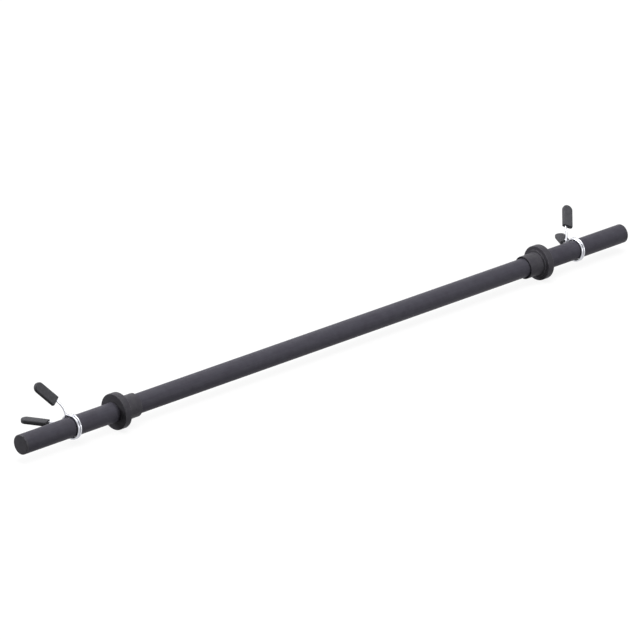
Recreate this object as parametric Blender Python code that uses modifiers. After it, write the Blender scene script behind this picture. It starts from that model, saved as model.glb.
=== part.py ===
"""Aerobic barbell: a covered steel tube with two moulded collars and two spring clips.

Metres, +Z up. The bar lies along X with its middle at the origin, and +Y is its back.
Outlines of turned pieces are (radius, outward) pairs, where outward counts from the
piece's own station towards the near end of the bar.
"""

import math
from typing import NamedTuple

import bmesh
import bpy
from mathutils import Matrix, Vector

# Clearances between neighbouring pieces
GAP = 0.0003
WELD = 0.00001

# Bar: a steel tube with a skin of PVC in three lengths
BAR_LENGTH = 1.250
TUBE_DIAMETER = 0.025
TUBE_WALL = 0.0025
COVER_WALL = 0.0022
SLEEVE_LENGTH = 0.1795

# End caps
CAP_DISC = 0.004
CAP_EDGE = 0.0010
CAP_SPIGOT_LENGTH = 0.022
CAP_SPIGOT_WALL = 0.002
CAP_SPIGOT_CHAMFER = 0.001

# Collars: flange, shoulder and hub in one moulding
FLANGE_THICKNESS = 0.012
FLANGE_RISE = 0.0094
FLANGE_EDGE = 0.0010
SHOULDER_LENGTH = 0.002
SHOULDER_RISE = 0.0034
HUB_LENGTH = 0.0287
HUB_WALL = 0.0031
HUB_EDGE = 0.0005
MOUTH_LIP = 0.0010
MOUTH_DEPTH = 0.0030
COVER_TUCK = 0.008

# Cross pins that lock the collars to the tube
PIN_DIAMETER = 0.005
PIN_COLLAR_BITE = 0.0040
PIN_CHAMFER = 0.0004

# Spring clips: one wire, wound twice and a bit round the sleeve
WIRE_DIAMETER = 0.0032
COIL_FULL_TURNS = 2
COIL_PITCH = 0.0040
BEND_RADIUS = 0.0040
ARM_LEAD_IN = 0.0080

# The arm that leaves the coil on its outer side rises straight up, the other slants across
OUTER_RISER = 0.0110
OUTER_SLANT = 0.0
OUTER_WIRE_OFFSET = 0.0024
INNER_RISER = 0.0080
INNER_SLANT = math.radians(60.0)
INNER_WIRE_OFFSET = 0.0034

# How each arm is bent: its rise off the coil, its lean towards the bar's end and its tilt
LEFT_UPPER_RISE = 0.0254
LEFT_UPPER_LEAN = 0.0154
LEFT_UPPER_TILT = math.radians(38.8)
LEFT_LOWER_RISE = 0.0192
LEFT_LOWER_LEAN = 0.0144
LEFT_LOWER_TILT = math.radians(26.0)
RIGHT_UPPER_RISE = 0.0240
RIGHT_UPPER_LEAN = 0.0156
RIGHT_UPPER_TILT = math.radians(37.8)
RIGHT_LOWER_RISE = 0.0208
RIGHT_LOWER_LEAN = 0.0173
RIGHT_LOWER_TILT = math.radians(32.0)

# Where each clip sits on its sleeve, and how far its handles stand apart
LEFT_CLIP_STANDOFF = 0.0808
LEFT_BISECTOR = math.radians(32.2)
LEFT_HALF_SPREAD = math.radians(33.4)
RIGHT_CLIP_STANDOFF = 0.0746
RIGHT_BISECTOR = math.radians(17.2)
RIGHT_HALF_SPREAD = math.radians(21.6)

# Grips on the ends of the wire
GRIP_LENGTH = 0.0417
GRIP_WIDTH = 0.0163
GRIP_THICKNESS = 0.0068
GRIP_EDGE = 0.0019
GRIP_WIRE_DEPTH = 0.030

# How finely round shapes are cut into flats
BAR_SIDES = 32
ARC_STEPS = 3
PIN_SIDES = 16
BORE_SIDES = 12
TURN_POINTS = 24
MEASURE_POINTS = 180
BEND_STEPS = 6
SWEEP_STEPS = 7
WIRE_ROUND_STEPS = 1
GRIP_ROUND_STEPS = 10
GRIP_EDGE_STEPS = 2
SMOOTH_ANGLE = math.radians(35.0)

# Sizes that follow from the ones above
TUBE_RADIUS = TUBE_DIAMETER / 2
BAR_RADIUS = TUBE_RADIUS + GAP + COVER_WALL
HUB_RADIUS = BAR_RADIUS + HUB_WALL
SHOULDER_RADIUS = HUB_RADIUS + SHOULDER_RISE
FLANGE_RADIUS = HUB_RADIUS + FLANGE_RISE
COLLAR_LENGTH = FLANGE_THICKNESS + HUB_LENGTH
COLLAR_STATION = BAR_LENGTH / 2 - SLEEVE_LENGTH
PIN_STATION = COLLAR_STATION - COLLAR_LENGTH / 2
PIN_HALF_LENGTH = TUBE_RADIUS + PIN_COLLAR_BITE
WIRE_RADIUS = WIRE_DIAMETER / 2
COIL_RADIUS = (BAR_RADIUS + GAP + WIRE_RADIUS) / math.cos(math.pi / TURN_POINTS)
BEND_ANGLE = math.asin(BEND_RADIUS / (COIL_RADIUS + BEND_RADIUS))

# Finishes: colour, roughness and metallic value
STEEL = ("drawn_steel", (0.42, 0.42, 0.43), 0.35, 1.0)
SPRING_WIRE = ("chromed_spring_wire", (0.80, 0.81, 0.83), 0.12, 1.0)
PVC = ("dipped_pvc", (0.055, 0.054, 0.062), 0.55, 0.0)
COLLAR_PLASTIC = ("moulded_polypropylene", (0.045, 0.045, 0.050), 0.50, 0.0)
GRIP_PLASTIC = ("moulded_vinyl", (0.050, 0.050, 0.052), 0.60, 0.0)


class Root(NamedTuple):
    """How an arm leaves the coil: its first length, its slant and its place in the grip."""

    riser: float
    slant: float
    wire_offset: float


class Arm(NamedTuple):
    """How an arm of a clip is bent: its root, its rise off the coil, its lean and its tilt."""

    root: Root
    rise: float
    lean: float
    tilt: float


class Clip(NamedTuple):
    """Where a clip sits, how it is opened and how its arms are bent."""

    side: int
    word: str
    standoff: float
    bisector: float
    half_spread: float
    upper: Arm
    lower: Arm

    @property
    def coil_angle(self):
        """The angle that the wire is wound through from one arm's bend to the other's."""
        return 2 * math.pi * COIL_FULL_TURNS + 2 * (self.half_spread - BEND_ANGLE)

    @property
    def coil_half_length(self):
        """How far along the bar an arm leaves from the middle of the coil."""
        return COIL_PITCH * self.coil_angle / (4 * math.pi)


OUTER_ROOT = Root(OUTER_RISER, OUTER_SLANT, OUTER_WIRE_OFFSET)
INNER_ROOT = Root(INNER_RISER, INNER_SLANT, INNER_WIRE_OFFSET)
LEFT_UPPER = Arm(OUTER_ROOT, LEFT_UPPER_RISE, LEFT_UPPER_LEAN, LEFT_UPPER_TILT)
LEFT_LOWER = Arm(INNER_ROOT, LEFT_LOWER_RISE, LEFT_LOWER_LEAN, LEFT_LOWER_TILT)
RIGHT_UPPER = Arm(INNER_ROOT, RIGHT_UPPER_RISE, RIGHT_UPPER_LEAN, RIGHT_UPPER_TILT)
RIGHT_LOWER = Arm(OUTER_ROOT, RIGHT_LOWER_RISE, RIGHT_LOWER_LEAN, RIGHT_LOWER_TILT)
CLIPS = (
    Clip(-1, "left", LEFT_CLIP_STANDOFF, LEFT_BISECTOR, LEFT_HALF_SPREAD, LEFT_UPPER, LEFT_LOWER),
    Clip(1, "right", RIGHT_CLIP_STANDOFF, RIGHT_BISECTOR, RIGHT_HALF_SPREAD, RIGHT_UPPER, RIGHT_LOWER),
)


def clear_scene():
    """Remove every object of the scene that the script starts in."""
    for obj in list(bpy.data.objects):
        bpy.data.objects.remove(obj, do_unlink=True)


def make_collection(name, hidden=False):
    """Return a new collection linked to the scene."""
    collection = bpy.data.collections.new(name)
    collection.hide_render = hidden
    bpy.context.scene.collection.children.link(collection)
    return collection


def finish_material(finish):
    """Return the material for a finish, made the first time it is asked for."""
    name, colour, roughness, metallic = finish
    found = bpy.data.materials.get(name)
    if found:
        return found
    made = bpy.data.materials.new(name)
    made.use_nodes = True
    shader = made.node_tree.nodes["Principled BSDF"]
    shader.inputs["Base Color"].default_value = (*colour, 1.0)
    shader.inputs["Roughness"].default_value = roughness
    shader.inputs["Metallic"].default_value = metallic
    return made


def arc(radius, outward, bend, start, end, steps=ARC_STEPS):
    """Return points of a round edge whose centre is (radius, outward), angles in degrees."""
    points = []
    for step in range(steps + 1):
        angle = math.radians(start + (end - start) * step / steps)
        points.append((radius + bend * math.cos(angle), outward + bend * math.sin(angle)))
    return points


def bake(source, name, finish, collection):
    """Turn an object with modifiers, or a curve, into a welded mesh object in its place."""
    graph = bpy.context.evaluated_depsgraph_get()
    mesh = bpy.data.meshes.new_from_object(source.evaluated_get(graph))
    mesh.name = name
    welded = bmesh.new()
    welded.from_mesh(mesh)
    bmesh.ops.remove_doubles(welded, verts=welded.verts, dist=WELD)
    welded.to_mesh(mesh)
    welded.free()
    mesh.shade_smooth()
    mesh.set_sharp_from_angle(angle=SMOOTH_ANGLE)
    mesh.materials.clear()
    mesh.materials.append(finish_material(finish))
    place = source.matrix_world.copy()
    bpy.data.objects.remove(source, do_unlink=True)
    obj = bpy.data.objects.new(name, mesh)
    obj.matrix_world = place
    collection.objects.link(obj)
    return obj


def turned(name, outline, station, side, finish, collection, closed=True):
    """Turn an outline about the bar's axis, with a flat of the round facing down."""
    mesh = bpy.data.meshes.new(name + "_outline")
    count = len(outline)
    edges = [(i, i + 1) for i in range(count - 1)]
    if closed:
        edges.append((count - 1, 0))
    mesh.from_pydata([(radius, 0.0, outward) for radius, outward in outline], edges, [])
    obj = bpy.data.objects.new(name + "_outline", mesh)
    collection.objects.link(obj)
    screw = obj.modifiers.new("turn", "SCREW")
    screw.axis = "Z"
    screw.angle = 2 * math.pi
    screw.steps = BAR_SIDES
    screw.render_steps = BAR_SIDES
    screw.use_merge_vertices = True
    screw.merge_threshold = WELD
    lay_down = Matrix.Rotation(side * math.pi / 2, 4, "Y")
    half_flat = Matrix.Rotation(math.pi / BAR_SIDES, 4, "Z")
    obj.rotation_euler = (lay_down @ half_flat).to_euler()
    obj.location = (side * station, 0.0, 0.0)
    bpy.context.view_layer.update()
    return bake(obj, name, finish, collection)


def cut(target, cutter, cutters):
    """Subtract a cutter from a piece, and keep the cutter out of the model."""
    for user in list(cutter.users_collection):
        user.objects.unlink(cutter)
    cutters.objects.link(cutter)
    cutter.hide_render = True
    cutter.display_type = "WIRE"
    boolean = target.modifiers.new("cut_" + cutter.name, "BOOLEAN")
    boolean.operation = "DIFFERENCE"
    boolean.object = cutter


def cylinder(name, radius, length, sides, place):
    """Return a cylinder about its own Z axis, set at a matrix."""
    bpy.ops.mesh.primitive_cylinder_add(vertices=sides, radius=radius, depth=length)
    obj = bpy.context.active_object
    obj.name = name
    obj.matrix_world = place
    return obj


def adopt(obj, name, finish, collection):
    """Name a primitive, give it its finish and move it to the model's collection."""
    for user in list(obj.users_collection):
        user.objects.unlink(obj)
    collection.objects.link(obj)
    obj.name = name
    obj.data.name = name
    obj.data.materials.append(finish_material(finish))
    obj.data.shade_smooth()
    obj.data.set_sharp_from_angle(angle=SMOOTH_ANGLE)


def wire(name, points, finish, collection, parent):
    """Return a round wire through points, open at neither end."""
    data = bpy.data.curves.new(name + "_path", "CURVE")
    data.dimensions = "3D"
    data.bevel_depth = WIRE_RADIUS
    data.bevel_resolution = WIRE_ROUND_STEPS
    data.use_fill_caps = True
    spline = data.splines.new("POLY")
    spline.points.add(len(points) - 1)
    for point, place in zip(spline.points, points):
        point.co = (*place, 1.0)
    obj = bpy.data.objects.new(name + "_path", data)
    collection.objects.link(obj)
    bpy.context.view_layer.update()
    made = bake(obj, name, finish, collection)
    made.parent = parent
    return made


def build_core_tube(collection, cutters):
    """The steel tube that carries everything, drilled across for the collar pins."""
    half = BAR_LENGTH / 2 - CAP_DISC - GAP
    bore = TUBE_RADIUS - TUBE_WALL
    outline = [(TUBE_RADIUS, half), (TUBE_RADIUS, -half), (bore, -half), (bore, half)]
    tube = turned("core_tube", outline, 0.0, 1, STEEL, collection)
    for side, word in ((-1, "left"), (1, "right")):
        place = Matrix.Translation((side * PIN_STATION, 0.0, 0.0))
        hole = cylinder(word + "_tube_hole", PIN_DIAMETER / 2 + GAP, TUBE_DIAMETER * 2, PIN_SIDES, place)
        cut(tube, hole, cutters)


def build_grip_cover(collection):
    """The skin over the hand grip, tucked into both collars."""
    half = COLLAR_STATION - COLLAR_LENGTH + COVER_TUCK - GAP
    bore = TUBE_RADIUS + GAP
    outline = [(BAR_RADIUS, half), (BAR_RADIUS, -half), (bore, -half), (bore, half)]
    turned("grip_cover", outline, 0.0, 1, PVC, collection)


def build_sleeve_cover(side, word, collection):
    """The skin over one sleeve, from inside the collar to the end cap."""
    inner = COVER_TUCK - GAP
    outer = SLEEVE_LENGTH - CAP_DISC - GAP
    bore = TUBE_RADIUS + GAP
    outline = [(BAR_RADIUS, outer), (BAR_RADIUS, -inner), (bore, -inner), (bore, outer)]
    turned(word + "_sleeve_cover", outline, COLLAR_STATION, side, PVC, collection)


def build_end_cap(side, word, collection):
    """The cap that closes the tube, with a hollow spigot inside it."""
    spigot = TUBE_RADIUS - TUBE_WALL - GAP
    pocket = spigot - CAP_SPIGOT_WALL
    root = -CAP_DISC
    tip = root - CAP_SPIGOT_LENGTH
    outline = [(0.0, 0.0)]
    outline += reversed(arc(BAR_RADIUS - CAP_EDGE, -CAP_EDGE, CAP_EDGE, 0, 90))
    outline += [(BAR_RADIUS, root), (spigot, root), (spigot, tip + CAP_SPIGOT_CHAMFER)]
    outline += [(spigot - CAP_SPIGOT_CHAMFER, tip), (pocket, tip), (pocket, root), (0.0, root)]
    turned(word + "_end_cap", outline, BAR_LENGTH / 2, side, COLLAR_PLASTIC, collection, closed=False)


def build_collar(side, word, collection, cutters):
    """One collar: flange, shoulder and hub, bored for the tube and covers, open at its mouth."""
    seat = BAR_RADIUS + GAP
    bore = TUBE_RADIUS + GAP
    back = -FLANGE_THICKNESS
    step = back - SHOULDER_LENGTH
    tail = -COLLAR_LENGTH
    mouth = HUB_RADIUS - MOUTH_LIP
    outline = list(reversed(arc(FLANGE_RADIUS - FLANGE_EDGE, -FLANGE_EDGE, FLANGE_EDGE, 0, 90)))
    outline += reversed(arc(FLANGE_RADIUS - FLANGE_EDGE, back + FLANGE_EDGE, FLANGE_EDGE, -90, 0))
    outline += [(SHOULDER_RADIUS, back), (SHOULDER_RADIUS, step), (HUB_RADIUS, step)]
    outline += reversed(arc(HUB_RADIUS - HUB_EDGE, tail + HUB_EDGE, HUB_EDGE, -90, 0))
    outline += [(mouth, tail), (mouth, tail + MOUTH_DEPTH), (seat, tail + MOUTH_DEPTH)]
    outline += [(seat, tail + COVER_TUCK), (bore, tail + COVER_TUCK)]
    outline += [(bore, -COVER_TUCK), (seat, -COVER_TUCK), (seat, 0.0)]
    collar = turned(word + "_collar", outline, COLLAR_STATION, side, COLLAR_PLASTIC, collection)
    place = Matrix.Translation((side * PIN_STATION, 0.0, 0.0))
    reach = 2 * (PIN_HALF_LENGTH + GAP)
    pocket = cylinder(word + "_pin_pocket", PIN_DIAMETER / 2 + GAP, reach, PIN_SIDES, place)
    cut(collar, pocket, cutters)


def build_collar_pin(side, word, collection):
    """The pin through the tube, its ends held in blind pockets of the collar."""
    place = Matrix.Translation((side * PIN_STATION, 0.0, 0.0))
    pin = cylinder(word + "_collar_pin", PIN_DIAMETER / 2, 2 * PIN_HALF_LENGTH, PIN_SIDES, place)
    adopt(pin, word + "_collar_pin", STEEL, collection)
    chamfer = pin.modifiers.new("chamfer", "BEVEL")
    chamfer.width = PIN_CHAMFER
    chamfer.segments = 1
    chamfer.limit_method = "ANGLE"


def radial(angle):
    """Return the unit vector away from the bar's axis at an angle above the back."""
    return Vector((0.0, math.cos(angle), math.sin(angle)))


def tangent(angle):
    """Return the unit vector round the bar's axis at an angle above the back."""
    return Vector((0.0, -math.sin(angle), math.cos(angle)))


def coil_point(bisector, turn):
    """Return the point of the coil that lies a wound angle from its middle."""
    along = COIL_PITCH * turn / (2 * math.pi)
    return Vector((along, 0.0, 0.0)) + radial(bisector - turn) * COIL_RADIUS


def coil_points(clip):
    """Return the coil's centre line, short of both arms by the gap."""
    half = clip.coil_angle / 2 - GAP / COIL_RADIUS
    steps = math.ceil(2 * half / (2 * math.pi) * TURN_POINTS)
    return [coil_point(clip.bisector, half * (2 * step / steps - 1)) for step in range(steps + 1)]


def least_coil_gap(clip):
    """Return the clear space between one turn and the next, measured on close points."""
    wound = clip.coil_angle
    count = math.ceil(wound / (2 * math.pi) * MEASURE_POINTS)
    points = [coil_point(clip.bisector, wound * (step / count - 0.5)) for step in range(count + 1)]
    apart = MEASURE_POINTS // 2
    least = min(
        (points[j] - points[i]).length
        for i in range(len(points))
        for j in range(i + apart, len(points))
    )
    return least - WIRE_DIAMETER


def grip_frame(side, arm, angle):
    """Return the near face's middle, the length, width and thickness ways of a grip."""
    out = Vector((side, 0.0, 0.0))
    length_way = radial(angle) * math.cos(arm.tilt) + out * math.sin(arm.tilt)
    width_way = out * math.cos(arm.tilt) - radial(angle) * math.sin(arm.tilt)
    face = radial(angle) * (COIL_RADIUS + arm.rise) + out * arm.lean
    return face, length_way, width_way, width_way.cross(length_way)


def arm_points(clip, arm, hand, angle):
    """Return an arm's centre line from the coil, through its bends, into the grip."""
    root = Vector((-hand * clip.coil_half_length, 0.0, 0.0))
    centre_out = (COIL_RADIUS + BEND_RADIUS) * math.cos(BEND_ANGLE)
    points = []
    for step in range(BEND_STEPS + 1):
        share = step / BEND_STEPS
        bend = math.pi + BEND_ANGLE + (math.pi / 2 - BEND_ANGLE) * share
        away = centre_out + BEND_RADIUS * math.cos(bend)
        aside = -hand * (BEND_RADIUS + BEND_RADIUS * math.sin(bend))
        points.append(root + radial(angle) * away + tangent(angle) * aside)
    face, length_way, width_way, _ = grip_frame(clip.side, arm, angle)
    entry = face - width_way * arm.root.wire_offset
    start = points[-1]
    slanted = Vector((clip.side * math.sin(arm.root.slant), 0.0, 0.0))
    leave = start + (radial(angle) * math.cos(arm.root.slant) + slanted) * arm.root.riser
    meet = entry - length_way * ARM_LEAD_IN
    for step in range(1, SWEEP_STEPS + 1):
        t = step / SWEEP_STEPS
        s = 1 - t
        points.append(start * s**3 + leave * 3 * s * s * t + meet * 3 * s * t * t + entry * t**3)
    points.append(entry + length_way * GRIP_WIRE_DEPTH)
    return points


def build_grip(name, place, wire_offset, collection, cutters, parent):
    """A flat grip, round at its far end, cut square and bored at its near end."""
    half = GRIP_WIDTH / 2 - GRIP_EDGE
    shoulder = GRIP_LENGTH - GRIP_WIDTH / 2
    outline = [(half, -GRIP_EDGE), (half, shoulder)]
    outline += arc(0.0, shoulder, half, 0, 180, GRIP_ROUND_STEPS)[1:-1]
    outline += [(-half, shoulder), (-half, -GRIP_EDGE)]
    data = bpy.data.curves.new(name + "_outline", "CURVE")
    data.dimensions = "2D"
    data.fill_mode = "BOTH"
    data.extrude = GRIP_THICKNESS / 2 - GRIP_EDGE
    data.bevel_depth = GRIP_EDGE
    data.bevel_resolution = GRIP_EDGE_STEPS
    spline = data.splines.new("POLY")
    spline.use_cyclic_u = True
    spline.points.add(len(outline) - 1)
    for point, (across, along) in zip(spline.points, outline):
        point.co = (across, along, 0.0, 1.0)
    blank = bpy.data.objects.new(name + "_outline", data)
    collection.objects.link(blank)
    bpy.context.view_layer.update()
    grip = bake(blank, name, GRIP_PLASTIC, collection)
    grip.parent = parent
    face, length_way, width_way, thick_way = place
    turn = Matrix((width_way, length_way, thick_way)).transposed().to_4x4()
    local = Matrix.Translation(face) @ turn
    grip.matrix_local = local
    world = parent.matrix_world @ local

    bpy.ops.mesh.primitive_cube_add(size=1.0)
    saw = bpy.context.active_object
    saw.name = name + "_near_cut"
    saw.data.transform(Matrix.Diagonal((GRIP_WIDTH * 2, GRIP_WIDTH, GRIP_WIDTH * 2, 1.0)))
    saw.matrix_world = world @ Matrix.Translation((0.0, -GRIP_WIDTH / 2, 0.0))
    cut(grip, saw, cutters)

    depth = GRIP_WIRE_DEPTH + GAP
    upright = Matrix.Rotation(-math.pi / 2, 4, "X")
    middle = Matrix.Translation((-wire_offset, depth / 2 - GRIP_EDGE / 2, 0.0))
    drill = cylinder(
        name + "_bore", WIRE_RADIUS + GAP, depth + GRIP_EDGE, BORE_SIDES, world @ middle @ upright
    )
    cut(grip, drill, cutters)


def build_clip(clip, collection, cutters):
    """One spring clip: the coil on the sleeve, two arms and two grips."""
    axis = bpy.data.objects.new(clip.word + "_clip_axis", None)
    axis.location = (clip.side * (COLLAR_STATION + clip.standoff), 0.0, 0.0)
    collection.objects.link(axis)
    bpy.context.view_layer.update()
    gap = least_coil_gap(clip) * 1000
    print(f"{clip.word} clip coil: least gap to itself {gap:.2f} mm")
    wire(clip.word + "_clip_coil", coil_points(clip), SPRING_WIRE, collection, axis)
    for hand, word, arm in ((1, "upper", clip.upper), (-1, "lower", clip.lower)):
        angle = clip.bisector + hand * clip.half_spread
        name = f"{clip.word}_clip_{word}"
        wire(name + "_arm", arm_points(clip, arm, hand, angle), SPRING_WIRE, collection, axis)
        place = grip_frame(clip.side, arm, angle)
        build_grip(name + "_grip", place, arm.root.wire_offset, collection, cutters, axis)


def main():
    """Build the whole barbell."""
    clear_scene()
    collection = make_collection("aerobic_barbell")
    cutters = make_collection("cutters", hidden=True)
    build_core_tube(collection, cutters)
    build_grip_cover(collection)
    for clip in CLIPS:
        build_sleeve_cover(clip.side, clip.word, collection)
        build_end_cap(clip.side, clip.word, collection)
        build_collar(clip.side, clip.word, collection, cutters)
        build_collar_pin(clip.side, clip.word, collection)
        build_clip(clip, collection, cutters)
    bpy.context.view_layer.update()


main()
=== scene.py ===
"""Looks of the aerobic barbell.

A steel tube in a soft black skin carries two moulded collars, two end caps and two sprung
clips of chromed wire with vinyl handles. Sizes are in metres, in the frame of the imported
model: +X along the bar, +Y to the back and +Z up.
"""

import logging
import math
from dataclasses import dataclass
from enum import Enum
from typing import NamedTuple

import bmesh
import bpy
from mathutils import Matrix, Vector


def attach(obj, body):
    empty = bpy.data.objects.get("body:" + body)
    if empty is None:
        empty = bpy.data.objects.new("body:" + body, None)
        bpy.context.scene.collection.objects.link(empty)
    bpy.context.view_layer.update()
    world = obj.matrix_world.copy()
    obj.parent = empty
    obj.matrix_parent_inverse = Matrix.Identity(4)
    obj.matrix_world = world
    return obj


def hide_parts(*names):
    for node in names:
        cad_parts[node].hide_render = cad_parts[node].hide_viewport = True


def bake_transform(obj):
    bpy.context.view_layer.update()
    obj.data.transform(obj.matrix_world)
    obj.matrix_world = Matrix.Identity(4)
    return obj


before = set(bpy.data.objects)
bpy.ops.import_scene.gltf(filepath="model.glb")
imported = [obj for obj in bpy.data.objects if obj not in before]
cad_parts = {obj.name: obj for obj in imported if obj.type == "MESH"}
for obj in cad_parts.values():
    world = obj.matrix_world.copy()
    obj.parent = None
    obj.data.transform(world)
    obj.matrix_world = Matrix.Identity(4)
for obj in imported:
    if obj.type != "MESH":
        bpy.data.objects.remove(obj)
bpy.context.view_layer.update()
log = logging.getLogger("aerobic_barbell")

Tree = bpy.types.NodeTree
Socket = bpy.types.NodeSocket
Ring = list[bmesh.types.BMVert]

MILLIMETRE = 0.001
IMAGE_SIDE = 640
WHITE = "#ffffff"
WEAR = "wear"

# How finely round shapes are cut, and the angle from which an edge stays sharp.
TURNED_SIDES = 144
WIRE_SIDES = 20
SMOOTH_ANGLE = math.radians(32.0)

# Sizes that more than one sub-assembly needs. A collar's station is that of its outer face.
BAR_LENGTH = 1.250
BAR_RADIUS = 0.015
TUBE_RADIUS = 0.0125
SLEEVE_LENGTH = 0.1795
COLLAR_STATION = BAR_LENGTH / 2 - SLEEVE_LENGTH
COLLAR_LENGTH = 0.0407
FLANGE_RADIUS = 0.0275
SKIN_TUCK = 0.008
CAP_DISC = 0.004

# A noise's values lie mostly between these two, and a finish stretches them to its own span.
NOISE_LOW = 0.3
NOISE_HIGH = 0.7

# The share of the fine grain in the roughness.
GRAIN_SHARE = 0.35


class Side(Enum):
    """A choice between two sides, each with a word for the names of nodes and pieces."""

    @property
    def word(self) -> str:
        """The side's word in the names of nodes and pieces."""
        return self.name.lower()


class End(Side):
    """The two ends of the bar, by the side of +X that they lie on."""

    LEFT = -1
    RIGHT = 1


class Hand(Side):
    """The two arms of a clip, by the way that they lie from its middle."""

    UPPER = 1
    LOWER = -1


class OutlinePoint(NamedTuple):
    """A point of a turned outline: radius, distance outward from the station, and wear."""

    radius: float
    outward: float
    wear: float = 0.0


class Layers(NamedTuple):
    """The finer layers of a noise: how many there are, and how strong each next one is."""

    detail: float
    roughness: float


COARSE_LAYERS = Layers(3.0, 0.55)
FINE_LAYERS = Layers(2.0, 0.5)


# Colours and nodes


def linear(hex_colour: str) -> tuple[float, float, float, float]:
    """Turn an sRGB colour into the linear one that Blender's sockets take.

    Args:
        hex_colour: six hex digits after a number sign.

    Returns:
        Linear red, green and blue, and an alpha of one.
    """
    channels = [int(hex_colour[i : i + 2], 16) / 255 for i in (1, 3, 5)]
    straight = [c / 12.92 if c <= 0.04045 else ((c + 0.055) / 1.055) ** 2.4 for c in channels]
    return (*straight, 1.0)


def clear_tree(owner: bpy.types.Material | bpy.types.World) -> Tree:
    """Turn on an owner's nodes and take out those that it starts with.

    Args:
        owner: the material or world.

    Returns:
        Its empty tree.
    """
    owner.use_nodes = True
    owner.node_tree.nodes.clear()
    return owner.node_tree


def add_node(
    tree: Tree,
    kind: str,
    settings: dict[str, str] | None = None,
    values: dict[str | int, object] | None = None,
    links: dict[str | int, Socket] | None = None,
) -> bpy.types.Node:
    """Add a node to a tree and set it up.

    Args:
        tree: the tree that gets the node.
        kind: Blender's name of the node's type.
        settings: the node's own properties, by name.
        values: constants for its sockets, by name or number.
        links: outputs of other nodes that feed its sockets, by name or number.

    Returns:
        The new node.
    """
    node = tree.nodes.new(kind)
    for name, value in (settings or {}).items():
        setattr(node, name, value)
    for socket, value in (values or {}).items():
        node.inputs[socket].default_value = value
    for socket, output in (links or {}).items():
        tree.links.new(output, node.inputs[socket])
    return node


def reckon(tree: Tree, operation: str, one: Socket, two: Socket) -> Socket:
    """Reckon with two values.

    Args:
        tree: the tree that gets the node.
        operation: Blender's name of what is done.
        one: the first value.
        two: the second value.

    Returns:
        The result.
    """
    settings = {"operation": operation}
    node = add_node(tree, "ShaderNodeMath", settings=settings, links={0: one, 1: two})
    return node.outputs["Value"]


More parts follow.
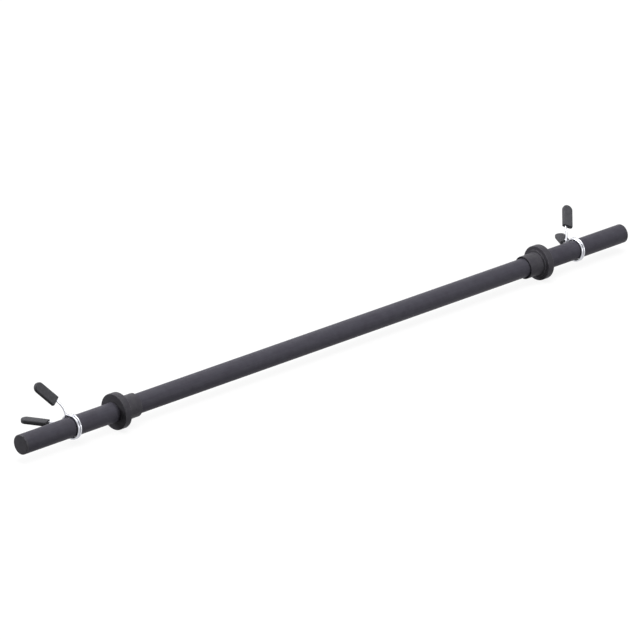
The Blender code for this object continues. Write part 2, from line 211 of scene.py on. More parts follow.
@dataclass(frozen=True)
class Finish:
    """A dielectric or metal surface with mottled colour, uneven gloss and a fine relief.

    The sizes of its patterns are those of the real surface, in millimetres, where the
    comment at a finish doesn't say otherwise.
    """

    name: str
    dark: str
    light: str
    worn: str
    gloss_low: float
    gloss_high: float
    mottle_mm: float
    grain_mm: float
    grain_height_mm: float
    streak: tuple[float, float, float]
    streak_share: float
    metallic: float = 0.0
    ior: float = 1.5
    specular: float = 0.5

    def material(self) -> bpy.types.Material:
        """Build the material, or return it if it has been built.

        Returns:
            The material with its whole node tree.
        """
        found = bpy.data.materials.get(self.name)
        if found:
            return found
        made = bpy.data.materials.new(self.name)
        tree = clear_tree(made)
        place = add_node(tree, "ShaderNodeTexCoord").outputs["Object"]
        mottle = self._noise(tree, place, 1.0 / (self.mottle_mm * MILLIMETRE), COARSE_LAYERS)
        grain = self._noise(tree, place, 1.0 / (self.grain_mm * MILLIMETRE), FINE_LAYERS)
        streaks = self._streaks(tree, place)
        pattern = self._mix(tree, self.streak_share, mottle, streaks)
        shader = add_node(
            tree,
            "ShaderNodeBsdfPrincipled",
            values={
                "Metallic": self.metallic,
                "IOR": self.ior,
                "Specular IOR Level": self.specular,
            },
            links={
                "Base Color": self._colour(tree, pattern, mottle),
                "Roughness": self._roughness(tree, pattern, grain),
                "Normal": self._relief(tree, grain, streaks),
            },
        )
        add_node(tree, "ShaderNodeOutputMaterial", links={"Surface": shader.outputs["BSDF"]})
        return made

    def _noise(self, tree: Tree, place: Socket, scale: float, layers: Layers) -> Socket:
        """Add a noise.

        Args:
            tree: the material's tree.
            place: the coordinates.
            scale: how many patches go into one unit of them.
            layers: its finer layers.

        Returns:
            The noise's value, from zero to one.
        """
        noise = add_node(
            tree,
            "ShaderNodeTexNoise",
            values={"Scale": scale, "Detail": layers.detail, "Roughness": layers.roughness},
            links={"Vector": place},
        )
        return noise.outputs["Fac"]

    def _streaks(self, tree: Tree, place: Socket) -> Socket:
        """Add a noise that is drawn out the way that the surface was made.

        Args:
            tree: the material's tree.
            place: the coordinates in metres.

        Returns:
            The noise's value, from zero to one.
        """
        scales = [1.0 / (size * MILLIMETRE) for size in self.streak]
        values, links = {"Scale": scales}, {"Vector": place}
        drawn = add_node(tree, "ShaderNodeMapping", values=values, links=links)
        return self._noise(tree, drawn.outputs["Vector"], 1.0, FINE_LAYERS)

    def _mix(self, tree: Tree, share: float, one: Socket, two: Socket) -> Socket:
        """Mix two patterns.

        Args:
            tree: the material's tree.
            share: the share of the second one.
            one: the first pattern.
            two: the second pattern.

        Returns:
            The mixed pattern.
        """
        mixed = add_node(
            tree,
            "ShaderNodeMix",
            settings={"data_type": "FLOAT"},
            values={0: share},
            links={2: one, 3: two},
        )
        return mixed.outputs[0]

    def _spread(self, tree: Tree, pattern: Socket, low: float, high: float) -> Socket:
        """Stretch a pattern to a span of its own.

        Args:
            tree: the material's tree.
            pattern: the pattern.
            low: the span's lower end.
            high: the span's upper end.

        Returns:
            The stretched pattern.
        """
        spread = add_node(
            tree,
            "ShaderNodeMapRange",
            values={"From Min": NOISE_LOW, "From Max": NOISE_HIGH, "To Min": low, "To Max": high},
            links={"Value": pattern},
        )
        return spread.outputs["Result"]

    def _colour(self, tree: Tree, pattern: Socket, mottle: Socket) -> Socket:
        """Mix the two colours by the pattern, and lighten in patches what is worn.

        Args:
            tree: the material's tree.
            pattern: the patches and streaks.
            mottle: the patches alone.

        Returns:
            The surface's colour.
        """
        base = add_node(
            tree,
            "ShaderNodeMix",
            settings={"data_type": "RGBA"},
            values={6: linear(self.dark), 7: linear(self.light)},
            links={0: self._spread(tree, pattern, 0.0, 1.0)},
        )
        wear = add_node(tree, "ShaderNodeAttribute", settings={"attribute_name": WEAR})
        patchy = reckon(tree, "MULTIPLY", wear.outputs["Fac"], mottle)
        worn = add_node(
            tree,
            "ShaderNodeMix",
            settings={"data_type": "RGBA"},
            values={7: linear(self.worn)},
            links={0: patchy, 6: base.outputs[2]},
        )
        return worn.outputs[2]

    def _roughness(self, tree: Tree, pattern: Socket, grain: Socket) -> Socket:
        """Spread the roughness between its two values by all three patterns.

        Args:
            tree: the material's tree.
            pattern: the patches and streaks.
            grain: the fine grain.

        Returns:
            The roughness.
        """
        fine = self._mix(tree, GRAIN_SHARE, pattern, grain)
        return self._spread(tree, fine, self.gloss_low, self.gloss_high)

    def _relief(self, tree: Tree, grain: Socket, streaks: Socket) -> Socket:
        """Raise the grain and the streaks by their real height.

        Args:
            tree: the material's tree.
            grain: the fine grain.
            streaks: the streaks.

        Returns:
            The bent normal.
        """
        bump = add_node(
            tree,
            "ShaderNodeBump",
            values={"Strength": 1.0, "Distance": self.grain_height_mm * MILLIMETRE},
            links={"Height": self._mix(tree, self.streak_share, grain, streaks)},
        )
        return bump.outputs["Normal"]


# Soft PVC, extruded as a tube and shrunk onto the steel. The die leaves faint lines along it
# and the fine grain breaks up its mirror, so the eye gets dark violet grey that turns lighter
# to the top, with no clear reflection of the white room: the mirror part is set low for that.
# The grain of the real skin is 0.2 mm; it is drawn at 1.6 mm so that it shows at all.
PVC_SKIN = Finish(
    name="extruded_soft_pvc",
    dark="#413f47",
    light="#4a4951",
    worn="#59575f",
    ior=1.53,
    specular=0.06,
    gloss_low=0.42,
    gloss_high=0.52,
    mottle_mm=14.0,
    grain_mm=1.6,
    grain_height_mm=0.035,
    streak=(90.0, 2.2, 2.2),
    streak_share=0.35,
)

# Polypropylene, injection moulded in a lightly etched mould. The etching leaves it as matt as
# the skin and of nearly the same grey, and its rims are rubbed a little lighter.
# The etched grain is 0.3 mm on the real collar and is drawn at 1.2 mm.
COLLAR_PLASTIC = Finish(
    name="moulded_polypropylene",
    dark="#413f45",
    light="#4a494d",
    worn="#626166",
    ior=1.49,
    specular=0.06,
    gloss_low=0.38,
    gloss_high=0.48,
    mottle_mm=10.0,
    grain_mm=1.2,
    grain_height_mm=0.015,
    streak=(4.0, 30.0, 30.0),
    streak_share=0.15,
)

# Polyethylene, injection moulded. The cap is a touch lighter and duller than the collars.
CAP_PLASTIC = Finish(
    name="moulded_polyethylene",
    dark="#46454a",
    light="#504f54",
    worn="#65646a",
    ior=1.51,
    specular=0.06,
    gloss_low=0.42,
    gloss_high=0.52,
    mottle_mm=7.0,
    grain_mm=1.0,
    grain_height_mm=0.02,
    streak=(20.0, 20.0, 20.0),
    streak_share=0.1,
)

# Soft vinyl, moulded over the wire with a matt pebbled face that scatters the light, so the
# handles look lighter and flatter than the bar. The pebble is 0.5 mm and is drawn at 1.0 mm.
HANDLE_VINYL = Finish(
    name="moulded_matt_vinyl",
    dark="#434346",
    light="#4c4c50",
    worn="#606063",
    ior=1.52,
    specular=0.08,
    gloss_low=0.55,
    gloss_high=0.68,
    mottle_mm=5.0,
    grain_mm=1.0,
    grain_height_mm=0.06,
    streak=(12.0, 12.0, 12.0),
    streak_share=0.1,
)

# Spring steel wire, drawn, wound and chromed. The chrome lies on the drawn wire without a
# polish, so its mirror is a little blurred: it shows the white room as pale grey, and the
# dark bar as soft lines along the windings.
CHROMED_WIRE = Finish(
    name="chromed_spring_steel",
    dark="#bbbcc2",
    light="#cbccd2",
    worn="#c2c3c9",
    metallic=1.0,
    gloss_low=0.24,
    gloss_high=0.32,
    mottle_mm=6.0,
    grain_mm=0.9,
    grain_height_mm=0.004,
    streak=(3.0, 0.6, 0.6),
    streak_share=0.5,
)

# Low carbon steel tube, cold drawn and left bare inside the skin: grey with fine lines along
# it. The skin, the collars and the caps hide it from every side.
DRAWN_STEEL = Finish(
    name="cold_drawn_steel",
    dark="#7d8085",
    light="#93969b",
    worn="#a2a5aa",
    metallic=1.0,
    gloss_low=0.28,
    gloss_high=0.42,
    mottle_mm=25.0,
    grain_mm=1.0,
    grain_height_mm=0.01,
    streak=(120.0, 0.8, 0.8),
    streak_share=0.7,
)


# Objects and meshes


def add_object(name: str, data: bpy.types.ID) -> bpy.types.Object:
    """Add an object to the scene.

    Args:
        name: the new object's name.
        data: its mesh, lamp or camera.

    Returns:
        The object, at the origin.
    """
    made = bpy.data.objects.new(name, data)
    bpy.context.scene.collection.objects.link(made)
    return made


def aim(eye: bpy.types.Object, back: Vector) -> None:
    """Turn a lamp or camera.

    Args:
        eye: the lamp or camera.
        back: the unit vector that its back points along.
    """
    eye.rotation_mode = "QUATERNION"
    eye.rotation_quaternion = back.to_track_quat("Z", "Y")


def radial(angle: float) -> Vector:
    """Return the unit vector away from the bar's axis at an angle above the back."""
    return Vector((0.0, math.cos(angle), math.sin(angle)))


def view_way(azimuth: float, elevation: float) -> Vector:
    """Return the unit vector from the bar towards an eye at two angles in radians."""
    flat = math.cos(elevation)
    return Vector((math.sin(azimuth) * flat, -math.cos(azimuth) * flat, math.sin(elevation)))


def finish_mesh(made: bmesh.types.BMesh, name: str, finish: Finish) -> bpy.types.Object:
    """Turn a bmesh into a smooth, dressed object of the scene.

    Args:
        made: the mesh, freed here.
        name: the new object's name.
        finish: the finish that it gets.

    Returns:
        The object, at the origin.
    """
    bmesh.ops.recalc_face_normals(made, faces=made.faces)
    mesh = bpy.data.meshes.new(name)
    made.to_mesh(mesh)
    made.free()
    mesh.shade_smooth()
    mesh.set_sharp_from_angle(angle=SMOOTH_ANGLE)
    mesh.materials.append(finish.material())
    return add_object(name, mesh)


def fillet(
    radius: float,
    outward: float,
    bend: float,
    start: float,
    end: float,
    wear: float = 0.0,
    steps: int = 8,
) -> list[OutlinePoint]:
    """Make the points of a round edge of a turned outline.

    Args:
        radius: the radius at which the edge's centre lies.
        outward: the distance outward at which the centre lies.
        bend: the edge's own radius.
        start: the angle where it starts, in degrees.
        end: the angle where it ends, in degrees.
        wear: how worn the middle of the edge is.
        steps: how many steps it is cut into.

    Returns:
        The points from start to end.
    """
    points = []
    for step in range(steps + 1):
        share = step / steps
        angle = math.radians(start + (end - start) * share)
        rubbed = wear * math.sin(math.pi * share)
        points.append(
            OutlinePoint(radius + bend * math.cos(angle), outward + bend * math.sin(angle), rubbed)
        )
    return points


def corners(*places: tuple[float, float]) -> list[OutlinePoint]:
    """Return the sharp points of a turned outline, each from its radius and its distance."""
    return [OutlinePoint(radius, outward) for radius, outward in places]


def turn(
    name: str, outline: list[OutlinePoint], station: float, end: End, finish: Finish
) -> bpy.types.Object:
    """Turn a closed outline about the bar's axis.

    Args:
        name: the new object's name.
        outline: its points, in order round the section.
        station: the distance from the bar's middle that outward counts from.
        end: the end of the bar that outward points to.
        finish: the finish that it gets.

    Returns:
        The turned object.
    """
    made = bmesh.new()
    wear = made.verts.layers.float.new(WEAR)
    rings = []
    for point in outline:
        along = end.value * (station + point.outward)
        ring = []
        count = TURNED_SIDES if point.radius > 0 else 1
        for step in range(count):
            angle = 2 * math.pi * step / count
            place = (along, point.radius * math.cos(angle), point.radius * math.sin(angle))
            vert = made.verts.new(place)
            vert[wear] = point.wear
            ring.append(vert)
        rings.append(ring)
    pairs = list(zip(rings, rings[1:]))
    if len(rings[0]) > 1 and len(rings[-1]) > 1:
        pairs.append((rings[-1], rings[0]))
    for one, two in pairs:
        for step in range(TURNED_SIDES):
            after = (step + 1) % TURNED_SIDES
            face = [one[step % len(one)], one[after % len(one)]]
            face += [two[after % len(two)], two[step % len(two)]]
            made.faces.new(list(dict.fromkeys(face)))
    return finish_mesh(made, name, finish)


def bridge(made: bmesh.types.BMesh, one: Ring, two: Ring) -> None:
    """Join two rings of the same length with faces.

    Args:
        made: the mesh.
        one: the first ring.
        two: the second ring.
    """
    for step in range(len(one)):
        after = (step + 1) % len(one)
        made.faces.new((one[step], one[after], two[after], two[step]))


def sweep(name: str, line: list[Vector], radius: float, finish: Finish) -> bpy.types.Object:
    """Sweep a round wire along a line, with flat ends.

    Args:
        name: the new object's name.
        line: the points that the wire's middle follows.
        radius: the wire's radius.
        finish: the finish that it gets.

    Returns:
        The wire.
    """
    made = bmesh.new()
    made.verts.layers.float.new(WEAR)
    last = len(line) - 1
    ways = [(line[min(i + 1, last)] - line[max(i - 1, 0)]).normalized() for i in range(last + 1)]
    across = ways[0].orthogonal().normalized()
    rings = []
    for place, way in zip(line, ways):
        across = (across - way * across.dot(way)).normalized()
        beside = way.cross(across)
        ring = []
        for step in range(WIRE_SIDES):
            angle = 2 * math.pi * step / WIRE_SIDES
            spoke = across * math.cos(angle) + beside * math.sin(angle)
            ring.append(made.verts.new(place + spoke * radius))
        rings.append(ring)
    for one, two in zip(rings, rings[1:]):
        bridge(made, one, two)
    made.faces.new(rings[0])
    made.faces.new(rings[-1])
    return finish_mesh(made, name, finish)


def settle(piece: bpy.types.Object, body: str, node: str) -> None:
    """Let a piece ride on a body in the place of a CAD node.

    Args:
        piece: the new piece.
        body: the CAD body that it moves with.
        node: the CAD node that it stands for.
    """
    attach(piece, body)
    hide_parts(node)


# Sub-assemblies


@dataclass
class SkinnedBar:
    """The steel tube and the three lengths of skin over it."""

    joint: float = 0.0003
    cap_joint: float = 0.00008
    edge: float = 0.0004
    edge_steps: int = 4
    rub: float = 0.3

    def build(self) -> list[bpy.types.Object]:
        """Build the skins and set them on the bar.

        Returns:
            The three lengths of skin.
        """
        return [self._grip_skin()] + [self._sleeve_skin(end) for end in End]

    def dress(self) -> None:
        """Give the CAD's tube and pins, which stay, their steel."""
        for node in ("core_tube", "left_collar_pin", "right_collar_pin"):
            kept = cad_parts[node]
            kept.data.materials.clear()
            kept.data.materials.append(DRAWN_STEEL.material())

    def _skin(
        self, name: str, low: float, high: float, station: float, end: End
    ) -> bpy.types.Object:
        """Turn one length of skin between two distances from a station.

        Args:
            name: the new object's name.
            low: where it starts.
            high: where it ends.
            station: what both count from.
            end: the end of the bar that they point to.

        Returns:
            The length of skin.
        """
        edge, rim = self.edge, BAR_RADIUS - self.edge
        inside = TUBE_RADIUS + self.joint
        outline = fillet(rim, low + edge, edge, -90, 0, self.rub, self.edge_steps)
        outline += fillet(rim, high - edge, edge, 0, 90, self.rub, self.edge_steps)
        outline += corners((inside, high), (inside, low))
        return turn(name, outline, station, end, PVC_SKIN)

    def _grip_skin(self) -> bpy.types.Object:
        """Build the skin that the hands hold, tucked into both collars.

        Returns:
            The length of skin.
        """
        half = COLLAR_STATION - COLLAR_LENGTH + SKIN_TUCK - self.joint
        skin = self._skin("hand_grip_skin", -half, half, 0.0, End.RIGHT)
        settle(skin, "bar", "grip_cover")
        return skin

    def _sleeve_skin(self, end: End) -> bpy.types.Object:
        """Build the skin of one sleeve, from inside the collar to the cap.

        Args:
            end: the end of the bar that the sleeve is on.

        Returns:
            The length of skin.
        """
        outer = SLEEVE_LENGTH - CAP_DISC - self.cap_joint
        name = f"{end.word}_sleeve_skin"
        skin = self._skin(name, self.joint - SKIN_TUCK, outer, COLLAR_STATION, end)
        settle(skin, "bar", f"{end.word}_sleeve_cover")
        return skin


@dataclass
class EndCap:
    """The cap pushed into one end of the tube."""

    end: End
    edge: float = 0.0012
    crown: float = 0.0003
    crown_steps: int = 8
    rib_radius: float = 0.0097
    rib_wall: float = 0.002
    rib_length: float = 0.022
    rub: float = 0.6

    def build(self) -> bpy.types.Object:
        """Build the cap and set it on the bar.

        Returns:
            The cap.
        """
        rim = BAR_RADIUS - self.edge
        shares = [step / self.crown_steps for step in range(self.crown_steps + 1)]
        outline = corners(*((rim * share, -self.crown * share**2) for share in shares))
        outline += fillet(rim, -self.edge - self.crown, self.edge, 90, 0, self.rub)[1:]
        hollow = self.rib_radius - self.rib_wall
        tip = -CAP_DISC - self.rib_length
        outline += corners(
            (BAR_RADIUS, -CAP_DISC),
            (self.rib_radius, -CAP_DISC),
            (self.rib_radius, tip),
            (hollow, tip),
            (hollow, -CAP_DISC),
            (0.0, -CAP_DISC),
        )
        cap = turn(f"{self.end.word}_cap", outline, BAR_LENGTH / 2, self.end, CAP_PLASTIC)
        settle(cap, "bar", f"{self.end.word}_end_cap")
        return cap


@dataclass
class Collar:
    """One collar: a flange that plates rest on, a shoulder and a hub, moulded in one."""

    end: End
    flange: float = 0.012
    flange_edge: float = 0.0010
    shoulder_radius: float = 0.0215
    shoulder: float = 0.002
    hub_radius: float = 0.0181
    hub_edge: float = 0.0004
    mouth_lip: float = 0.0010
    mouth_depth: float = 0.0030
    root: float = 0.0006
    seat: float = 0.01525
    bore: float = 0.0128
    rub: float = 0.9
    small_steps: int = 5

    def build(self) -> bpy.types.Object:
        """Build the collar and set it on the bar.

        Returns:
            The collar.
        """
        outline = self._outside() + self._inside()
        name = f"{self.end.word}_plate_collar"
        collar = turn(name, outline, COLLAR_STATION, self.end, COLLAR_PLASTIC)
        settle(collar, "bar", f"{self.end.word}_collar")
        return collar

    def _outside(self) -> list[OutlinePoint]:
        """Lay out the edges from the outer face to the hub's end.

        Returns:
            The points of the outer half of the outline.
        """
        edge, rim = self.flange_edge, FLANGE_RADIUS - self.flange_edge
        root, soft, small = self.root, self.hub_edge, self.small_steps
        back = -self.flange
        step = back - self.shoulder
        outline = fillet(rim, -edge, edge, 90, 0, self.rub)
        outline += fillet(rim, back + edge, edge, 0, -90, self.rub)
        for radius, start, stop in (
            (self.shoulder_radius, back, step),
            (self.hub_radius, step, -COLLAR_LENGTH),
        ):
            outline += fillet(radius + root, start - root, root, 90, 180, steps=small)
            outline += fillet(radius - soft, stop + soft, soft, 0, -90, self.rub / 2, small)
        return outline

    def _inside(self) -> list[OutlinePoint]:
        """Lay out the hub's mouth, the seats of the skins and the bore between them.

        Returns:
            The points of the inner half of the outline.
        """
        mouth = self.hub_radius - self.mouth_lip
        tail = -COLLAR_LENGTH
        return corners(
            (mouth, tail),
            (mouth, tail + self.mouth_depth),
            (self.seat, tail + self.mouth_depth),
            (self.seat, tail + SKIN_TUCK),
            (self.bore, tail + SKIN_TUCK),
            (self.bore, -SKIN_TUCK),
            (self.seat, -SKIN_TUCK),
            (self.seat, 0.0),
        )


class Section(NamedTuple):
    """A section of a handle: half the width of its flat, its place and its edges.

    The edges swell the given way, and are drawn in by the last number.
    """

    half: float
    along: float
    way: Vector
    shrink: float


@dataclass
class Handle:
    """The flat vinyl handle on an arm, round at its far end."""

    length: float = 0.0417
    width: float = 0.0163
    thickness: float = 0.0068
    edge: float = 0.0019
    crown: float = 0.00025
    mouth_edge: float = 0.0004
    bore: float = 0.0018
    bore_depth: float = 0.0040
    rub: float = 0.25
    weld: float = 0.000002
    mouth_steps: int = 3
    side_steps: int = 8
    round_steps: int = 16
    edge_steps: int = 6
    flat_steps: int = 6

    def build(self, name: str, place: Matrix, wire_offset: float) -> bpy.types.Object:
        """Build the handle as a loft of its sections.

        Args:
            name: the new object's name.
            place: its frame, with X across, Y along and Z through the thickness.
            wire_offset: how far its wire lies off its middle.

        Returns:
            The handle.
        """
        made = bmesh.new()
        wear = made.verts.layers.float.new(WEAR)
        rings = [self._ring(made, section) for section in self._sections()]
        for one, two in zip(rings, rings[1:]):
            bridge(made, one, two)
        self._mouth(made, rings[0], wire_offset)
        bmesh.ops.remove_doubles(made, verts=made.verts, dist=self.weld)
        for vert in made.verts:
            vert[wear] = self.rub
        made.transform(place)
        return finish_mesh(made, name, HANDLE_VINYL)

    def _sections(self) -> list[Section]:
        """Lay out the sections of the mouth's edge, the straight sides and the round end.

        Returns:
            The sections, from the near end to the far one.
        """
        half = self.width / 2 - self.edge
        straight = self.length - self.width / 2
        aside = Vector((1, 0))
        sections = []
        for step in range(self.mouth_steps + 1):
            angle = math.pi / 2 * (1 - step / self.mouth_steps)
            along = self.mouth_edge * (1 - math.sin(angle))
            sections.append(Section(half, along, aside, self.mouth_edge * (1 - math.cos(angle))))
        for step in range(1, self.side_steps + 1):
            along = self.mouth_edge + (straight - self.mouth_edge) * step / self.side_steps
            sections.append(Section(half, along, aside, 0.0))
        for step in range(1, self.round_steps + 1):
            angle = math.pi / 2 * step / self.round_steps
            way = Vector((math.cos(angle), math.sin(angle)))
            sections.append(Section(half * way.x, straight + half * way.y, way, 0.0))
        return sections

    def _ring(self, made: bmesh.types.BMesh, section: Section) -> Ring:
        """Add one section of the handle.

        Args:
            made: the mesh.
            section: the section.

        Returns:
            The section's vertices in order round it.
        """
        flat = self.thickness / 2 - self.edge
        bend = self.edge - section.shrink
        right = []
        for step in range(-self.edge_steps, self.edge_steps + 1):
            angle = math.pi / 2 * step / self.edge_steps
            swell = section.way * (bend * math.cos(angle))
            level = flat * math.copysign(1, step) if step else 0.0
            level += bend * math.sin(angle)
            right.append((section.half + swell.x, section.along + swell.y, level))
        top = []
        for step in range(1, self.flat_steps):
            share = 1 - 2 * step / self.flat_steps
            rise = self.crown * (1 - share**2) * section.half / (self.width / 2)
            top.append((section.half * share, section.along, flat + bend + rise))
        left = [(-x, y, z) for x, y, z in reversed(right)]
        bottom = [(-x, y, -z) for x, y, z in top]
        return [made.verts.new(point) for point in right + top + left + bottom]

    def _mouth(self, made: bmesh.types.BMesh, rim: Ring, wire_offset: float) -> None:
        """Close the near end round the hole that the wire goes into.

        Args:
            made: the mesh.
            rim: the first section.
            wire_offset: how far the hole lies off the middle.
        """
        hole = []
        for depth in (0.0, self.bore_depth):
            ring = []
            for vert in rim:
                way = Vector((vert.co.x, vert.co.z * self.width / self.thickness)).normalized()
                place = (way.x * self.bore - wire_offset, depth, way.y * self.bore)
                ring.append(made.verts.new(place))
            hole.append(ring)
        bridge(made, rim, hole[0])
        bridge(made, hole[0], hole[1])
        made.faces.new(hole[1])


class ArmRoot(NamedTuple):
    """How an arm leaves the coil: its first length, its slant and its place in the handle."""

    riser: float
    slant: float
    wire_offset: float


class ArmBend(NamedTuple):
    """How one arm of a clip is bent: where its handle starts and how far that tilts."""

    root: ArmRoot
    handle_radius: float
    lean: float
    tilt: float


@dataclass
class SpringClip:
    """One clip: a wire wound round the sleeve, its two arms and their handles."""

    end: End
    station: float
    bisector: float
    half_spread: float
    upper: ArmBend
    lower: ArmBend
    handle: Handle
    wire_radius: float = 0.0016
    coil_radius: float = 0.0172
    full_turns: int = 2
    pitch: float = 0.0040
    bend: float = 0.0040
    lead_in: float = 0.0080
    hidden: float = 0.0035
    turn_steps: int = 96
    bend_steps: int = 16
    arm_steps: int = 40

    @property
    def middle(self) -> Vector:
        """The middle of the coil, on the bar's axis."""
        return Vector((self.end.value * self.station, 0.0, 0.0))

    @property
    def bend_angle(self) -> float:
        """The angle round the bar that each arm's first bend takes."""
        return math.asin(self.bend / (self.coil_radius + self.bend))

    @property
    def wound(self) -> float:
        """The angle that the wire is wound through."""
        return 2 * math.pi * self.full_turns + 2 * (self.half_spread - self.bend_angle)

    @property
    def half_length(self) -> float:
        """How far along the bar each arm leaves from the middle of the coil."""
        return self.pitch * self.wound / (4 * math.pi)

    def build(self) -> list[bpy.types.Object]:
        """Build the clip and set it on its bodies.

        Returns:
            The coil, the arms and the handles.
        """
        made = [self._coil()]
        for hand in Hand:
            body = f"{self.end.word}_clip_{hand.word}"
            arm = sweep(f"{body}_wire", self._arm_line(hand), self.wire_radius, CHROMED_WIRE)
            settle(arm, body, f"{body}_arm")
            offset = self._bend_of(hand).root.wire_offset
            handle = self.handle.build(f"{body}_handle", self._handle_place(hand), offset)
            settle(handle, body, f"{body}_grip")
            made += [arm, handle]
        return made

    def _angle(self, hand: Hand) -> float:
        """Return the angle above the back at which an arm stands."""
        return self.bisector + hand.value * self.half_spread

    def _bend_of(self, hand: Hand) -> ArmBend:
        """Return how an arm is bent."""
        return self.upper if hand is Hand.UPPER else self.lower

    def _coil(self) -> bpy.types.Object:
        """Wind the coil round the sleeve, as one fixed piece.

        Returns:
            The coil, drawn across the joint from the upper arm to the lower one.
        """
        count = math.ceil(self.wound / (2 * math.pi) * self.turn_steps)
        line = []
        for step in range(count + 1):
            turned = self.wound * (step / count - 0.5)
            along = Vector((self.pitch * turned / (2 * math.pi), 0.0, 0.0))
            line.append(self.middle + along + radial(self.bisector - turned) * self.coil_radius)
        coil = sweep(f"{self.end.word}_clip_winding", line, self.wire_radius, CHROMED_WIRE)
        upper, lower = (f"{self.end.word}_clip_{hand.word}" for hand in Hand)
        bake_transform(coil)
        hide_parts(f"{self.end.word}_clip_coil")
        return coil

    def _handle_axes(self, hand: Hand) -> tuple[Vector, Vector, Vector]:
        """Find where a handle starts and which way it points.

        Args:
            hand: the arm that it sits on.

        Returns:
            The middle of its near end, the way along it and the way across it.
        """
        bend = self._bend_of(hand)
        out = Vector((self.end.value, 0.0, 0.0))
        away = radial(self._angle(hand))
        along = away * math.cos(bend.tilt) + out * math.sin(bend.tilt)
        across = out * math.cos(bend.tilt) - away * math.sin(bend.tilt)
        return self.middle + away * bend.handle_radius + out * bend.lean, along, across

    def _handle_place(self, hand: Hand) -> Matrix:
        """Put a handle's place and ways into one frame.

        Args:
            hand: the arm that it sits on.

        Returns:
            The frame, with X across, Y along and Z through the thickness.
        """
        near, along, across = self._handle_axes(hand)
        ways = Matrix((across, along, across.cross(along))).transposed()
        return Matrix.Translation(near) @ ways.to_4x4()

    def _first_bend(self, hand: Hand) -> list[Vector]:
        """Bend the wire from round the bar to straight away from it.

        Args:
            hand: the arm.

        Returns:
            The points of the bend's line.
        """
        angle = self._angle(hand)
        away = radial(angle)
        round_way = Vector((0.0, -math.sin(angle), math.cos(angle)))
        root = self.middle - Vector((hand.value * self.half_length, 0.0, 0.0))
        centre = (self.coil_radius + self.bend) * math.cos(self.bend_angle)
        span = math.pi / 2 - self.bend_angle
        line = []
        for step in range(self.bend_steps + 1):
            turned = math.pi + self.bend_angle + span * step / self.bend_steps
            rise = centre + self.bend * math.cos(turned)
            aside = -hand.value * self.bend * (1 + math.sin(turned))
            line.append(root + away * rise + round_way * aside)
        return line

    def _arm_line(self, hand: Hand) -> list[Vector]:
        """Lead the wire of an arm in one smooth curve from its first bend into its handle.

        Args:
            hand: the arm.

        Returns:
            The points of the wire's line.
        """
        line = self._first_bend(hand)
        root = self._bend_of(hand).root
        near, along, across = self._handle_axes(hand)
        away = radial(self._angle(hand))
        slanted = Vector((self.end.value * math.sin(root.slant), 0.0, 0.0))
        start = line[-1]
        leave = start + (away * math.cos(root.slant) + slanted) * root.riser
        entry = near - across * root.wire_offset
        meet = entry - along * self.lead_in
        for step in range(1, self.arm_steps + 1):
            share = step / self.arm_steps
            rest = 1 - share
            line.append(
                start * rest**3
                + leave * 3 * rest * rest * share
                + meet * 3 * rest * share * share
                + entry * share**3
            )
        line.append(entry + along * self.hidden)
        return line


def spring_clips() -> tuple[SpringClip, SpringClip]:
    """Describe the two clips, each with its own spread and bends, as they were bent.

    Returns:
        The left clip and the right one.
    """
    handle = Handle()
    outer = ArmRoot(riser=0.0110, slant=0.0, wire_offset=0.0024)
    inner = ArmRoot(riser=0.0080, slant=math.radians(60.0), wire_offset=0.0034)
    left = SpringClip(
        End.LEFT,
        station=0.5263,
        bisector=math.radians(32.2),
        half_spread=math.radians(33.4),
        upper=ArmBend(outer, handle_radius=0.04245, lean=0.0154, tilt=math.radians(38.8)),
        lower=ArmBend(inner, handle_radius=0.03625, lean=0.0144, tilt=math.radians(26.0)),
        handle=handle,
    )
    right = SpringClip(
        End.RIGHT,
        station=0.5201,
        bisector=math.radians(17.2),
        half_spread=math.radians(21.6),
        upper=ArmBend(inner, handle_radius=0.04105, lean=0.0156, tilt=math.radians(37.8)),
        lower=ArmBend(outer, handle_radius=0.03785, lean=0.0173, tilt=math.radians(32.0)),
        handle=handle,
    )
    return left, right


# Studio


@dataclass
class SoftLamp:
    """A square soft lamp that looks at the bar, placed by two angles in degrees."""

    name: str
    azimuth: float
    elevation: float
    side: float
    radiance: float
    distance: float = 2.6

    def build(self) -> None:
        """Hang the lamp, with the power that gives it its radiance."""
        light = bpy.data.lights.new(self.name, "AREA")
        light.shape = "SQUARE"
        light.size = self.side
        light.energy = math.pi * self.side**2 * self.radiance
        lamp = add_object(self.name, light)
        back = view_way(math.radians(self.azimuth), math.radians(self.elevation))
        lamp.location = back * self.distance
        aim(lamp, back)
        lamp.visible_camera = False


# One broad lamp hangs overhead. A low one in front and a strong one behind the left end draw
# the soft edges of the shade on the collars, and a weak one lifts the back at the right end.
LAMPS = (
    SoftLamp("overhead_lamp", azimuth=0.0, elevation=84.0, side=2.2, radiance=5.4),
    SoftLamp("front_lamp", azimuth=8.0, elevation=8.0, side=1.0, radiance=8.5),
    SoftLamp("left_lamp", azimuth=-140.0, elevation=22.0, side=0.8, radiance=22.0),
    SoftLamp("right_lamp", azimuth=140.0, elevation=40.0, side=1.6, radiance=0.9),
)


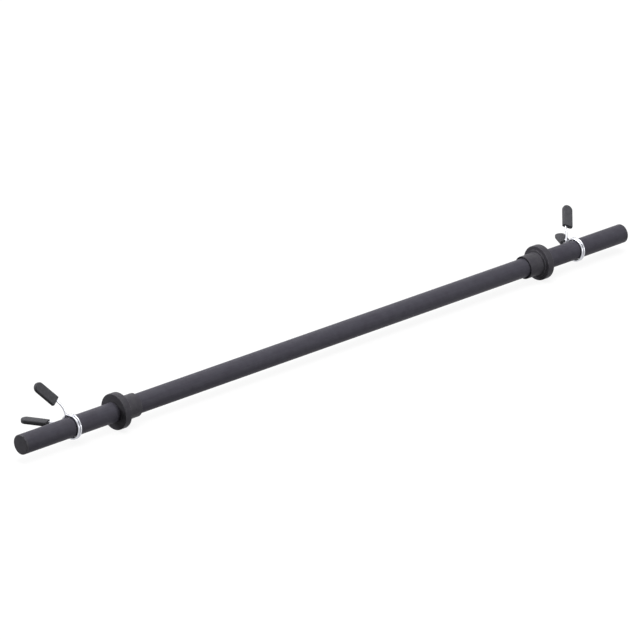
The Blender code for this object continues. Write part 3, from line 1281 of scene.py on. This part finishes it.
@dataclass
class Studio:
    """The white floor, the soft light and the camera.

    The camera stands at two angles in degrees and a distance from the bar's middle, shifted
    a little to its own right and up. Its lens is given in pixels of the picture.
    """

    azimuth: float = -43.801
    elevation: float = 21.356
    distance: float = 8.8306
    aside: float = -0.02182
    above: float = 0.02143
    focal_pixels: float = 5885.7
    sensor: float = 36.0
    far: float = 200.0
    floor_radius: float = 40.0
    floor_sides: int = 96
    floor_gap: float = 0.0001
    lit_radius: float = 0.6
    unlit_radius: float = 3.0
    floor_diffuse: float = 0.14
    floor_glow: float = 0.885
    ambient: float = 0.02

    def build(self) -> None:
        """Build the camera, the world, the lamps and the floor."""
        self._camera()
        self._world()
        for lamp in LAMPS:
            lamp.build()
        self._floor()

    def _camera(self) -> None:
        """Set the camera at the photograph's angle."""
        data = bpy.data.cameras.new("camera")
        data.sensor_width = self.sensor
        data.lens = self.focal_pixels * self.sensor / IMAGE_SIDE
        data.clip_end = self.far
        camera = add_object("camera", data)
        azimuth, elevation = math.radians(self.azimuth), math.radians(self.elevation)
        back = view_way(azimuth, elevation)
        right = Vector((math.cos(azimuth), math.sin(azimuth), 0.0))
        up = back.cross(right)
        camera.location = back * self.distance + right * self.aside + up * self.above
        aim(camera, back)
        bpy.context.scene.camera = camera
        bpy.context.scene.view_settings.view_transform = "Standard"

    def _seen(self, tree: Tree) -> Socket:
        """Add the test for rays from the eye, straight or by way of gloss or glass.

        Args:
            tree: the tree that gets the nodes.

        Returns:
            One for such rays and zero for the rest.
        """
        path = add_node(tree, "ShaderNodeLightPath").outputs
        either = reckon(tree, "MAXIMUM", path["Is Camera Ray"], path["Is Glossy Ray"])
        return reckon(tree, "MAXIMUM", either, path["Is Transmission Ray"])

    def _world(self) -> None:
        """Show white to the eye, and lift the shadows with a weak light from all round."""
        world = bpy.data.worlds.new("white_studio")
        bpy.context.scene.world = world
        tree = clear_tree(world)
        strength = add_node(
            tree,
            "ShaderNodeMapRange",
            values={"To Min": self.ambient, "To Max": 1.0},
            links={"Value": self._seen(tree)},
        )
        glow = add_node(
            tree,
            "ShaderNodeBackground",
            values={"Color": linear(WHITE)},
            links={"Strength": strength.outputs["Result"]},
        )
        add_node(tree, "ShaderNodeOutputWorld", links={"Surface": glow.outputs["Background"]})

    def _floor(self) -> None:
        """Lay a white floor that keeps a soft shadow of the bar."""
        made = bmesh.new()
        radius, sides = self.floor_radius, self.floor_sides
        bmesh.ops.create_circle(made, cap_ends=True, radius=radius, segments=sides)
        mesh = bpy.data.meshes.new("floor")
        made.to_mesh(mesh)
        made.free()
        mesh.materials.append(self._floor_material())
        floor = add_object("floor", mesh)
        floor.location = (0.0, 0.0, -FLANGE_RADIUS - self.floor_gap)

    def _floor_material(self) -> bpy.types.Material:
        """Build matt white paint that shows at full white where no shadow falls.

        Its own white rises towards the edge by as much as the lamps' light on it falls.

        Returns:
            The floor's material.
        """
        made = bpy.data.materials.new("matt_white_floor")
        tree = clear_tree(made)
        grey = (*[self.floor_diffuse] * 3, 1.0)
        paint = add_node(tree, "ShaderNodeBsdfDiffuse", values={"Color": grey})
        place = add_node(tree, "ShaderNodeTexCoord").outputs["Object"]
        length = {"operation": "LENGTH"}
        away = add_node(tree, "ShaderNodeVectorMath", settings=length, links={0: place})
        fade = add_node(
            tree,
            "ShaderNodeMapRange",
            values={
                "From Min": self.lit_radius,
                "From Max": self.unlit_radius,
                "To Min": self.floor_glow,
                "To Max": 1.0,
            },
            links={"Value": away.outputs["Value"]},
        )
        lift = reckon(tree, "MULTIPLY", self._seen(tree), fade.outputs["Result"])
        glow = add_node(tree, "ShaderNodeEmission", links={"Strength": lift})
        both = add_node(
            tree,
            "ShaderNodeAddShader",
            links={0: paint.outputs["BSDF"], 1: glow.outputs["Emission"]},
        )
        add_node(tree, "ShaderNodeOutputMaterial", links={"Surface": both.outputs["Shader"]})
        return made


def main() -> None:
    """Build the studio and every sub-assembly in order."""
    logging.basicConfig(level=logging.INFO, format="%(message)s")
    Studio().build()
    log.info("studio: camera, lamps and floor")
    bar = SkinnedBar()
    bar.dress()
    for skin in bar.build():
        log.info("bar: %s", skin.name)
    for end in End:
        log.info("cap: %s", EndCap(end).build().name)
        log.info("collar: %s", Collar(end).build().name)
    for clip in spring_clips():
        for piece in clip.build():
            log.info("clip: %s", piece.name)


if __name__ == "__main__":
    main()
